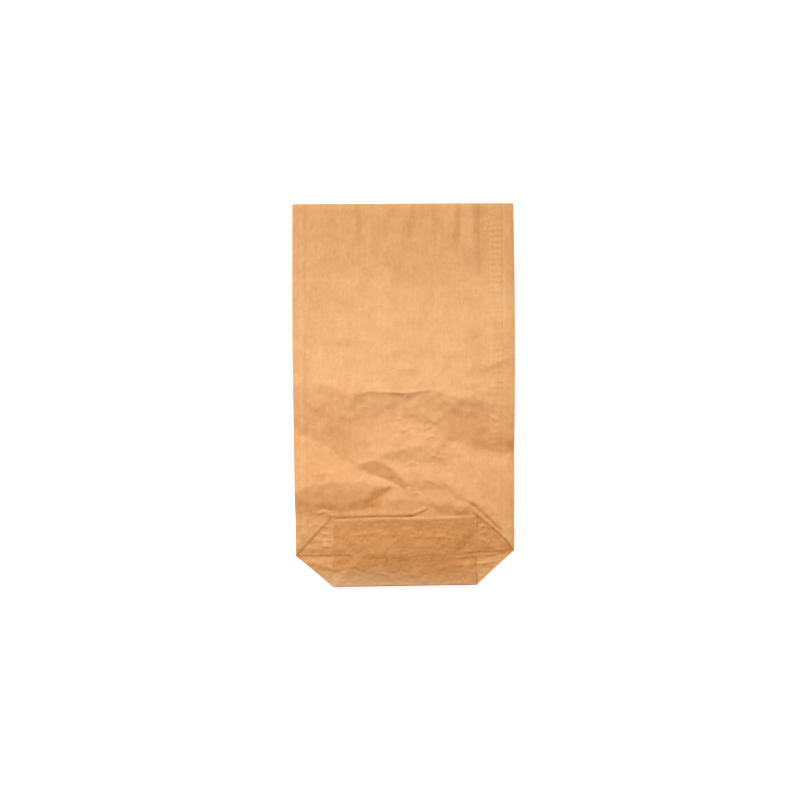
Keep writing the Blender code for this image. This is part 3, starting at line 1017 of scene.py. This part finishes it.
# Painted shade along the bottom's folds and creases and down the mouth's folds; painted highlights below the rim.
PAINTED_SHADING_STROKES = (
    Stroke(-19, (3.4, 1.5), [(463, 500), (476, 507), (500, 530), (506, 537)], taper=0.15, soft=1.0),
    Stroke(-24, (0.8, 1.6), [(404, 516.5), (412, 515.2), (420, 512.2), (430, 508)], taper=0.15, soft=1.0),
    Stroke(-8, (3, 3), [(364, 505.5), (372, 505), (381, 504)], taper=0.3, soft=1.0),
    Stroke(-7, (1.0, 1.4), [(309, 477), (318, 475), (326, 473.5), (333, 473)], taper=0.2, soft=1.0),
    Stroke(-10, (1.0, 1.3), [(320, 516.5), (327, 514.5), (334, 516.5)], taper=0.2, soft=1.0),
    Stroke(-9, (2.5, 0.8), [(293, 433.5), (300, 434.5), (308, 437)], taper=0.2, soft=1.0),
    Stroke(-10, (1.5, 2.0), [(455, 513), (464, 513.4), (473, 514)], taper=0.3, soft=1.0),
    Stroke(-18, (2.2, 1.5), [(295.8, 556.2), (330.5, 518.8)], taper=0.0, soft=1.0),
    Stroke(-16, (1.6, 1.3), [(470, 510), (478, 516), (499, 532.8), (514, 549.5)], taper=0.08, soft=1.0),
    Stroke(-14, (1.1, 0.9), [(297, 555.8), (335, 555.8), (352, 555)], taper=0.05, soft=0.8),
    Stroke(-16, (3.0, 0.7), [(330, 518.4), (352, 518.0), (378, 517.2), (405, 516.8), (418, 516.3)],
           taper=0.08, soft=0.9),
    Stroke(10, (1.1, 1.4), RIM_HIGHLIGHT_LINE, taper=0.05, soft=0.8),
    Stroke(-10, (2, 4), [(299, 562), (318, 567), (335, 571), (346, 568)], soft=1.0),
    Stroke(-10, (1.2, 1.6), [(456, 553.8), (470, 553), (511, 551)], taper=0.2, soft=1.0),
    Stroke(-12, (1.2, 2.0), [(452, 559.3), (475, 557.2), (509, 552.6)], taper=0.2, soft=1.0),
    Stroke(10, (2.5, 2.5), [(432, 571), (462, 565.5), (500, 560)], taper=0.2, soft=1.0),
    Stroke(-6, (1.2, 2.5), [(432, 575), (462, 570), (500, 565)], taper=0.2, soft=1.0),
    Stroke(-18, (0.9, 1.3), [(352, 398), (360, 396), (367, 392.3), (385, 393), (405, 394), (426, 391), (438, 390)],
           soft=1.0),
    Stroke(-8, (4, 5), [(358, 190), (359, 236)], soft=1.0),
    Stroke(-5, (4, 5), [(386, 190), (387, 236)], soft=1.0),
    Stroke(-7, (4, 6), [(411, 190), (410, 240)], soft=1.0),
    Stroke(-5, (4, 5), [(434, 190), (434, 240)], soft=1.0),
    Stroke(-10, (3, 4), [(457, 186), (457, 220), (453, 250)], soft=1.0),
    Stroke(-9, (8, 5), [(478, 180), (477, 240), (479, 275)], soft=1.0),
)
# How far the paper takes the colour of a painted shadow along the bottom's folds and creases, from 0 to 1.
FOLD_SHADOW_STROKES = (
    Stroke(0.65, (2.2, 1.5), [(295.8, 556.2), (330.5, 518.8)], taper=0.0, soft=1.0),
    Stroke(0.50, (1.6, 1.3), [(470, 510), (478, 516), (499, 532.8), (514, 549.5)], taper=0.08, soft=1.0),
    Stroke(0.65, (1.1, 0.9), [(297, 555.8), (335, 555.8), (352, 555)], taper=0.05, soft=0.8),
    Stroke(0.85, (3.0, 0.7), [(330, 518.4), (352, 518.0), (378, 517.2), (405, 516.8), (418, 516.3)],
           taper=0.08, soft=0.9),
    Stroke(0.45, (0.8, 1.6), [(404, 516.5), (412, 515.2), (420, 512.2), (430, 508)], taper=0.15, soft=1.0),
    Stroke(0.30, (1.6, 0.5), [(425, 517.1), (450, 516.8), (478, 516.3)], taper=0.0, soft=1.0),
)
# How far the paper takes a warmer colour: in its crumpled half.
WARM_AREAS = (
    Area(0.13, [(280, 388), (530, 388), (530, 516), (280, 516)], soft=4.0),
)
# Rows and how far the paper there takes a paler colour, towards the sack's foot.
PALER_ROWS = ((566, 0.0), (572, 0.15), (578, 0.30), (584, 0.55), (590, 0.65))
CORNER_AREAS = (
    Area(-15, [(296, 556), (331, 518.6), (345, 518), (345, 556)], soft=0.7),
    Area(-22, [(296, 556), (345, 556), (345, 590), (331, 590)], soft=0.7),
    Area(-26, [(460, 516), (478, 516), (500, 533), (515, 550), (460, 552)], soft=0.7),
    Area(-19, [(460, 552), (515, 550), (477, 588), (460, 588)], soft=0.7),
)

# Painted light on the ridges and painted shade in the creases, taken from the relief itself.
ridges = blur(heights, 0.8) - blur(heights, 4.0)
painted_shading = 5.0 * np.clip(ridges / 0.6, -1.5, 1.2)
towards_mouth = np.gradient(blur(heights, 0.8), MAP_STEP, axis=0)
painted_shading = painted_shading + SLOPE_LIGHT_AND_SHADE * np.clip(towards_mouth, -0.35, 0.10)
painted_shading = painted_shading + np.interp(map_v, (204, 255, 310, 360, 385, 400, 520), (-7, -6, -3, -2, 1, 0, -1))
for mark in (*PAINTED_SHADING_AREAS, *PAINTED_SHADING_STROKES):
    painted_shading = painted_shading + mark.drawn()
corner_shades = sum(area.drawn() for area in CORNER_AREAS)
fold_shadow = sum(stroke.drawn() for stroke in FOLD_SHADOW_STROKES)
warm = sum(area.drawn() for area in WARM_AREAS)
# The paler colour also paints that highlight.
rim_highlight = Stroke(0.45, (1.1, 1.4), RIM_HIGHLIGHT_LINE, taper=0.05, soft=0.8)
paler_and_rim_highlight = np.interp(map_u, (333, 400, 440, 460, 500), (1.0, 0.8, 0.6, 0.4, 0.6)) * np.interp(map_v, *zip(*PALER_ROWS))
paler_and_rim_highlight = paler_and_rim_highlight + rim_highlight.drawn()

# %% Give the shades to the vertices
def give_attribute(piece, name, values):
    layer = piece.data.attributes.new(name, "FLOAT", "POINT")
    layer.data.foreach_set("value", values.astype(np.float32))


places = read_places(sack)
u, v = to_pixels(places[:, 0], places[:, 1])
# Painted light and shade, the painted fold shadow and the painted rim highlight go to the vertices.
give_attribute(sack, "shade", on_front * sample(painted_shading + corner_shades, u, v) / 100)
give_attribute(sack, "fold_shadow", on_front * sample(fold_shadow, u, v))
give_attribute(sack, "warm", on_front * sample(warm, u, v))
give_attribute(sack, "paler_and_rim_highlight", on_front * sample(paler_and_rim_highlight, u, v))

# %% [markdown]
# ## The paper's thickness
#
# Up to here the sack is a surface. Solidify gives it the paper's thickness, half to each side.

# %% Make it paper
SMOOTH_ANGLE = math.radians(35)


def make_paper(piece):
    bpy.ops.object.select_all(action="DESELECT")
    bpy.context.view_layer.objects.active = piece
    piece.select_set(True)
    paper = piece.modifiers.new("paper", "SOLIDIFY")
    paper.thickness = PAPER
    paper.offset = 0.0
    bpy.ops.object.modifier_apply(modifier=paper.name)
    bpy.ops.object.shade_smooth_by_angle(angle=SMOOTH_ANGLE)
    print(f"{piece.name}:", sum(len(p.vertices) - 2 for p in piece.data.polygons), "triangles")


make_paper(sack)

# %% [markdown]
# ## The pasted patch
#
# The patch is its own piece of paper, pasted over the flaps. It lies on both of them, so it steps down
# where the lower flap ends, and that step shows as a thin line across it.

# %% Patch
PATCH_LEFT_U, PATCH_RIGHT_U = 333.0, 476.8  # the patch's ends in the photograph
PATCH_STEP = 0.006
PATCH_ABOVE_FLAPS = 0.0005
PASTED_DOWN = 0.0004  # its two ends are pasted down
PASTED_REACH = 0.012
PATCH_COLUMNS, PATCH_ROWS = 140, 70

bpy.ops.object.select_all(action="DESELECT")
bpy.ops.mesh.primitive_grid_add(x_subdivisions=PATCH_COLUMNS, y_subdivisions=PATCH_ROWS, size=1.0)
patch = bpy.context.object
patch.name = "pasted_patch"
patch.data.name = "pasted_patch"
start_editing(patch)
bpy.ops.mesh.select_all(action="SELECT")
patch_width = patch_high[0] - patch_low[0]
patch_length = patch_high[1] - patch_low[1]
bpy.ops.transform.resize(value=(patch_width, patch_length, 1.0))
patch_middle = (patch_low + patch_high) / 2
bpy.ops.transform.translate(value=(patch_middle.x, patch_middle.y, 0.0))
flat_map = bmesh.from_edit_mesh(patch.data).loops.layers.uv.new("flat_sheet")
for face in bmesh.from_edit_mesh(patch.data).faces:
    for loop in face.loops:
        loop[flat_map].uv = loop.vert.co.xy
bmesh.update_edit_mesh(patch.data)
stop_editing()

# %% Lay the patch on the flaps
GLUE_STAINS = (
    Stroke(-11, (1.6, 1.6), [(335, 528), (336, 540), (335, 549)], taper=0.2, soft=0.8),
    Stroke(-10, (1.4, 1.4), [(338, 531), (338, 546)], taper=0.2, soft=0.8),
    Stroke(-11, (1.6, 1.6), [(470, 526), (469, 538), (470, 551)], taper=0.2, soft=0.8),
)
places = read_places(patch)
x, y, _ = places.T.copy()
_, eased_y = ease(x, y)
patch_left, patch_right = (to_metres(u, 0)[0] for u in (PATCH_LEFT_U, PATCH_RIGHT_U))
eased_x = patch_left + (x - patch_low.x) / patch_width * (patch_right - patch_left)
u, v = to_pixels(eased_x, eased_y)
flap_edge = CREASE_Y + FLAP_OVERLAP + LAYER_STEP
on_upper_flap = 0.8 * ramp(y, flap_edge, flap_edge + 5 * PATCH_STEP) + 0.2 * ramp(y, flap_edge, flap_edge + PATCH_STEP)
on_flaps = height_of("lower flap") * (1.0 - on_upper_flap) + height_of("upper flap") * on_upper_flap
from_flap_end = CORNER_X - np.abs(x) - np.minimum(RIM_Y - y, y - FOOT_Y)
is_on_flaps = ramp(from_flap_end, -4 * PATCH_STEP, 0.0)
pile = height_of("corner") * (1.0 - is_on_flaps) + on_flaps * is_on_flaps
places[:, 0] = eased_x
places[:, 1] = eased_y
from_end = np.minimum(x - patch_low.x, patch_high.x - x)
above_flaps = PATCH_ABOVE_FLAPS - PASTED_DOWN * ramp(from_end, PASTED_REACH, 0.0)
places[:, 2] = pressed(pile) + above_flaps + wall_height(x, y, u, v)
write_places(patch, places)
# The patch's ends are paler, and at its right end a painted light cancels the shadow line that its edge casts.
ends = np.interp(
    u, (PATCH_LEFT_U, 347, 358, 378, 395, 455, 473.5, PATCH_RIGHT_U), (14, 13, 6, 3, 0, 0, 4, 17)
)
ends = ends * (1.0 - 0.8 * ramp(v, 552, 560))
patch_shades = sample(painted_shading, u, v) + ends + sum(sample(s.drawn(), u, v) for s in GLUE_STAINS)
give_attribute(patch, "shade", patch_shades / 100)
give_attribute(patch, "fold_shadow", sample(fold_shadow, u, v))
give_attribute(patch, "warm", sample(warm, u, v))
give_attribute(patch, "paler_and_rim_highlight", sample(paler_and_rim_highlight, u, v))
make_paper(patch)

# %% [markdown]
# ## Shader maths
#
# Materials are written as Python expressions. A Value is one output of a node, and its operators add Math
# nodes. A Shader is a material, and adds any other node with its settings and the inputs it is given.


# %% A small language for shaders
class Value:
    def __init__(self, shader, socket):
        self.shader = shader
        self.socket = socket

    def math(self, operation, *others):
        return self.shader.maths(operation, self, *others)

    def __add__(self, other):
        return self.math("ADD", other)

    def __sub__(self, other):
        return self.math("SUBTRACT", other)

    def __rsub__(self, other):
        return self.shader.maths("SUBTRACT", other, self)

    def __mul__(self, other):
        return self.math("MULTIPLY", other)

    def __truediv__(self, other):
        return self.math("DIVIDE", other)

    def __abs__(self):
        return self.math("ABSOLUTE")

    __radd__ = __add__
    __rmul__ = __mul__


class Shader:
    def __init__(self, owner):
        owner.use_nodes = True
        self.owner = owner
        self.tree = owner.node_tree

    def feed(self, node, inputs):
        """Each input gets a value or a link."""
        for name, value in inputs.items():
            if isinstance(value, Value):
                self.tree.links.new(value.socket, node.inputs[name])
            else:
                node.inputs[name].default_value = value

    def add(self, kind, settings, inputs, output=0):
        node = self.tree.nodes.new("ShaderNode" + kind)
        for name, setting in settings.items():
            setattr(node, name, setting)
        self.feed(node, inputs)
        return Value(self, node.outputs[output])

    def maths(self, operation, *values):
        return self.add("Math", {"operation": operation}, dict(enumerate(values)))

    def mix(self, share, first, second):
        """A colour between two colours."""
        return self.add("Mix", {"data_type": "RGBA"}, {0: share, 6: first, 7: second}, output=2)


# %% [markdown]
# ## Kraft paper
#
# Kraft paper has fine streaks along the web it was made on, cloudy mottling and single darker fibres. The
# web runs along the sack, and across it in the patch. All of it is one tone: where the tone falls, the
# paper turns a deeper orange, and where it rises, paler. The painted shades are part of the same tone.

# %% Kraft paper
DARKEST, PALEST = 0.48, 1.30  # the tones of the two colours that are mixed


def spots(shader, sheet, width, length, seed, detail=2.0):
    """Noise from about -1 to 1, in spots that are so wide and so long on the sheet, in metres."""
    place = shader.add(
        "Mapping",
        {},
        {"Vector": sheet, "Location": (seed * 1.7, seed * 2.3, 0.0), "Scale": (1 / width, 1 / length, 1.0)},
    )
    pattern = shader.add(
        "TexNoise",
        {"noise_dimensions": "2D"},
        {"Vector": place, "Scale": 1.0, "Detail": detail, "Roughness": 0.75},
    )
    return (pattern - 0.5) * 4.0


def band(x, middle, half_width):
    """1 on a line along the sheet, and 0 from half_width beside it."""
    return (1.0 - abs(x - middle) / half_width).math("MAXIMUM", 0.0)


def kraft(name, dark, pale, along, strength, light_and_shade_bands=()):
    """A paper material. along says whether its web runs along the sack; light_and_shade_bands, as (x, half width,
    tone), are painted light and shade.
    """
    shader = Shader(bpy.data.materials.new(name))
    sheet = shader.add("UVMap", {"uv_map": "flat_sheet"}, {})

    def streaks(width, length, seed):
        size = (width, length) if along else (length, width)
        return spots(shader, sheet, *size, seed)

    fine = streaks(0.006, 0.05, 1)
    wide = streaks(0.020, 0.22, 2)
    mottle = spots(shader, sheet, 0.040, 0.050, 3, detail=4.0)
    clouds = spots(shader, sheet, 0.11, 0.14, 4)
    pulp = spots(shader, sheet, 0.012, 0.012, 7)
    grain = spots(shader, sheet, 0.0045, 0.0045, 5)
    fibres = streaks(0.0022, 0.011, 6)
    flecks = ((fibres - 0.75) * 2.0).math("MAXIMUM", 0.0)
    marks = fine * 0.029 + wide * 0.018 + mottle * 0.062 + clouds * 0.020
    marks = marks + pulp * 0.038 + grain * 0.040 - flecks * 0.05
    tone = 1.0 + shader.add("Attribute", {"attribute_name": "shade"}, {}, output="Fac") + marks * strength
    x = shader.add("SeparateXYZ", {}, {0: sheet}, output="X")
    for middle, half_width, change in light_and_shade_bands:
        tone = tone + band(x, middle, half_width) * change
    colour = shader.mix((tone - DARKEST) / (PALEST - DARKEST), dark, pale)
    # Mixed in: the warmer colour, the painted fold shadow, and the paler colour that also paints the rim's highlight.
    for mark, mark_colour in (("warm", WARM), ("fold_shadow", FOLD_SHADOW_COLOUR), ("paler_and_rim_highlight", PALE_COLOUR)):
        share = shader.add("Attribute", {"attribute_name": mark}, {}, output="Fac")
        colour = shader.mix(share, colour, mark_colour)
    relief = fine + mottle + grain * 1.5 + fibres * 0.5
    bump = shader.add("Bump", {}, {"Height": relief, "Strength": 0.12, "Distance": 0.0003}, output="Normal")
    roughness = 0.78 + mottle * 0.03
    surface = shader.tree.nodes["Principled BSDF"]
    shader.feed(surface, {"Base Color": colour, "Roughness": roughness, "Specular IOR Level": 0.25, "Normal": bump})
    return shader.owner


# x on the sheet, half width and tone: painted light and shade, a lit and a shaded line beside the left side
# fold, and lines at the right one, darkest at its edge, where the paper turns away from the light
SIDE_LIGHT_AND_SHADE = (
    (0.0205, 0.004, 0.05),
    (0.0320, 0.005, -0.05),
    (SACK_WIDTH - 0.0150, 0.006, -0.03),
    (SACK_WIDTH - 0.0260, 0.006, 0.03),
    (SACK_WIDTH - 0.0010, 0.012, -0.10),
)
SACK_DARK, SACK_PALE = (0.455, 0.135, 0.005, 1.0), (0.993, 0.600, 0.298, 1.0)
PATCH_DARK, PATCH_PALE = (0.34, 0.120, 0.022, 1.0), (0.732, 0.335, 0.115, 1.0)
WARM = (0.88, 0.30, 0.09, 1.0)
# The colour of the painted shadow in the bottom's folds.
FOLD_SHADOW_COLOUR = (0.30, 0.125, 0.028, 1.0)
# A paler colour, for the sack's foot and for the painted highlight below the rim.
PALE_COLOUR = (0.775, 0.515, 0.314, 1.0)
sack.data.materials.append(kraft("kraft paper", SACK_DARK, SACK_PALE, True, 1.0, SIDE_LIGHT_AND_SHADE))
patch.data.materials.append(kraft("patch paper", PATCH_DARK, PATCH_PALE, False, 1.7))
print("materials:", [material.name for material in bpy.data.materials])

# %% [markdown]
# ## Floor and background
#
# The photograph's background is pure white. The floor is a pale matt plane that takes the sack's shadow,
# and for the camera it also glows, so that it comes out white. The world is white for the camera too.

# %% Floor
FLOOR_HALF = 15.0
FLOOR_DROP = 0.0003
bpy.ops.object.select_all(action="DESELECT")
bpy.ops.mesh.primitive_plane_add(size=2 * FLOOR_HALF, location=(0.0, 0.0, -FLOOR_DROP))
floor = bpy.context.object
floor.name = "floor"
shader = Shader(bpy.data.materials.new("white floor"))
surface = shader.tree.nodes["Principled BSDF"]
shader.feed(surface, {"Base Color": (0.8, 0.8, 0.8, 1.0), "Roughness": 1.0})


def seen_directly(shader):
    """1 for what the camera sees, also in a mirror or through glass, and 0 for light on other things."""
    seen = [shader.add("LightPath", {}, {}, output=f"Is {kind} Ray") for kind in ("Camera", "Glossy", "Transmission")]
    return seen[0].math("MAXIMUM", seen[1]).math("MAXIMUM", seen[2])


glow = shader.add("Emission", {}, {"Strength": seen_directly(shader) * 0.8})
both = shader.add("AddShader", {}, {0: Value(shader, surface.outputs[0]), 1: glow})
shader.feed(shader.tree.nodes["Material Output"], {"Surface": both})
floor.data.materials.append(shader.owner)

# %% [markdown]
# ## Light
#
# The light comes from a large window beyond the mouth, a little to the left: ridges are bright on their
# upper sides and dark below. A dim sky fills the shadows.

# %% Light
WINDOW_DIRECTION = Vector((-0.30, 0.86, 0.42))
SKY_STRENGTH = 0.2
SKY = (1.0, 0.90, 0.74, 1.0)
WHITE = (1.0, 1.0, 1.0, 1.0)

world = bpy.data.worlds.new("studio")
bpy.context.scene.world = world
shader = Shader(world)
strength = SKY_STRENGTH + seen_directly(shader) * (1.0 - SKY_STRENGTH)
background = shader.tree.nodes["Background"]
shader.feed(background, {"Color": shader.mix(seen_directly(shader), SKY, WHITE), "Strength": strength})

window_data = bpy.data.lights.new("window", "SUN")
window_data.energy = 6.2
window_data.angle = math.radians(14)
window = bpy.data.objects.new("window", window_data)
bpy.context.scene.collection.objects.link(window)
window.rotation_mode = "QUATERNION"
window.rotation_quaternion = WINDOW_DIRECTION.to_track_quat("Z", "Y")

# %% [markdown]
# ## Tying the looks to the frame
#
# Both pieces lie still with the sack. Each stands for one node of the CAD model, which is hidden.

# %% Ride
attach(sack, "root")
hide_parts("sack_body")
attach(patch, "root")
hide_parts("bottom_patch")
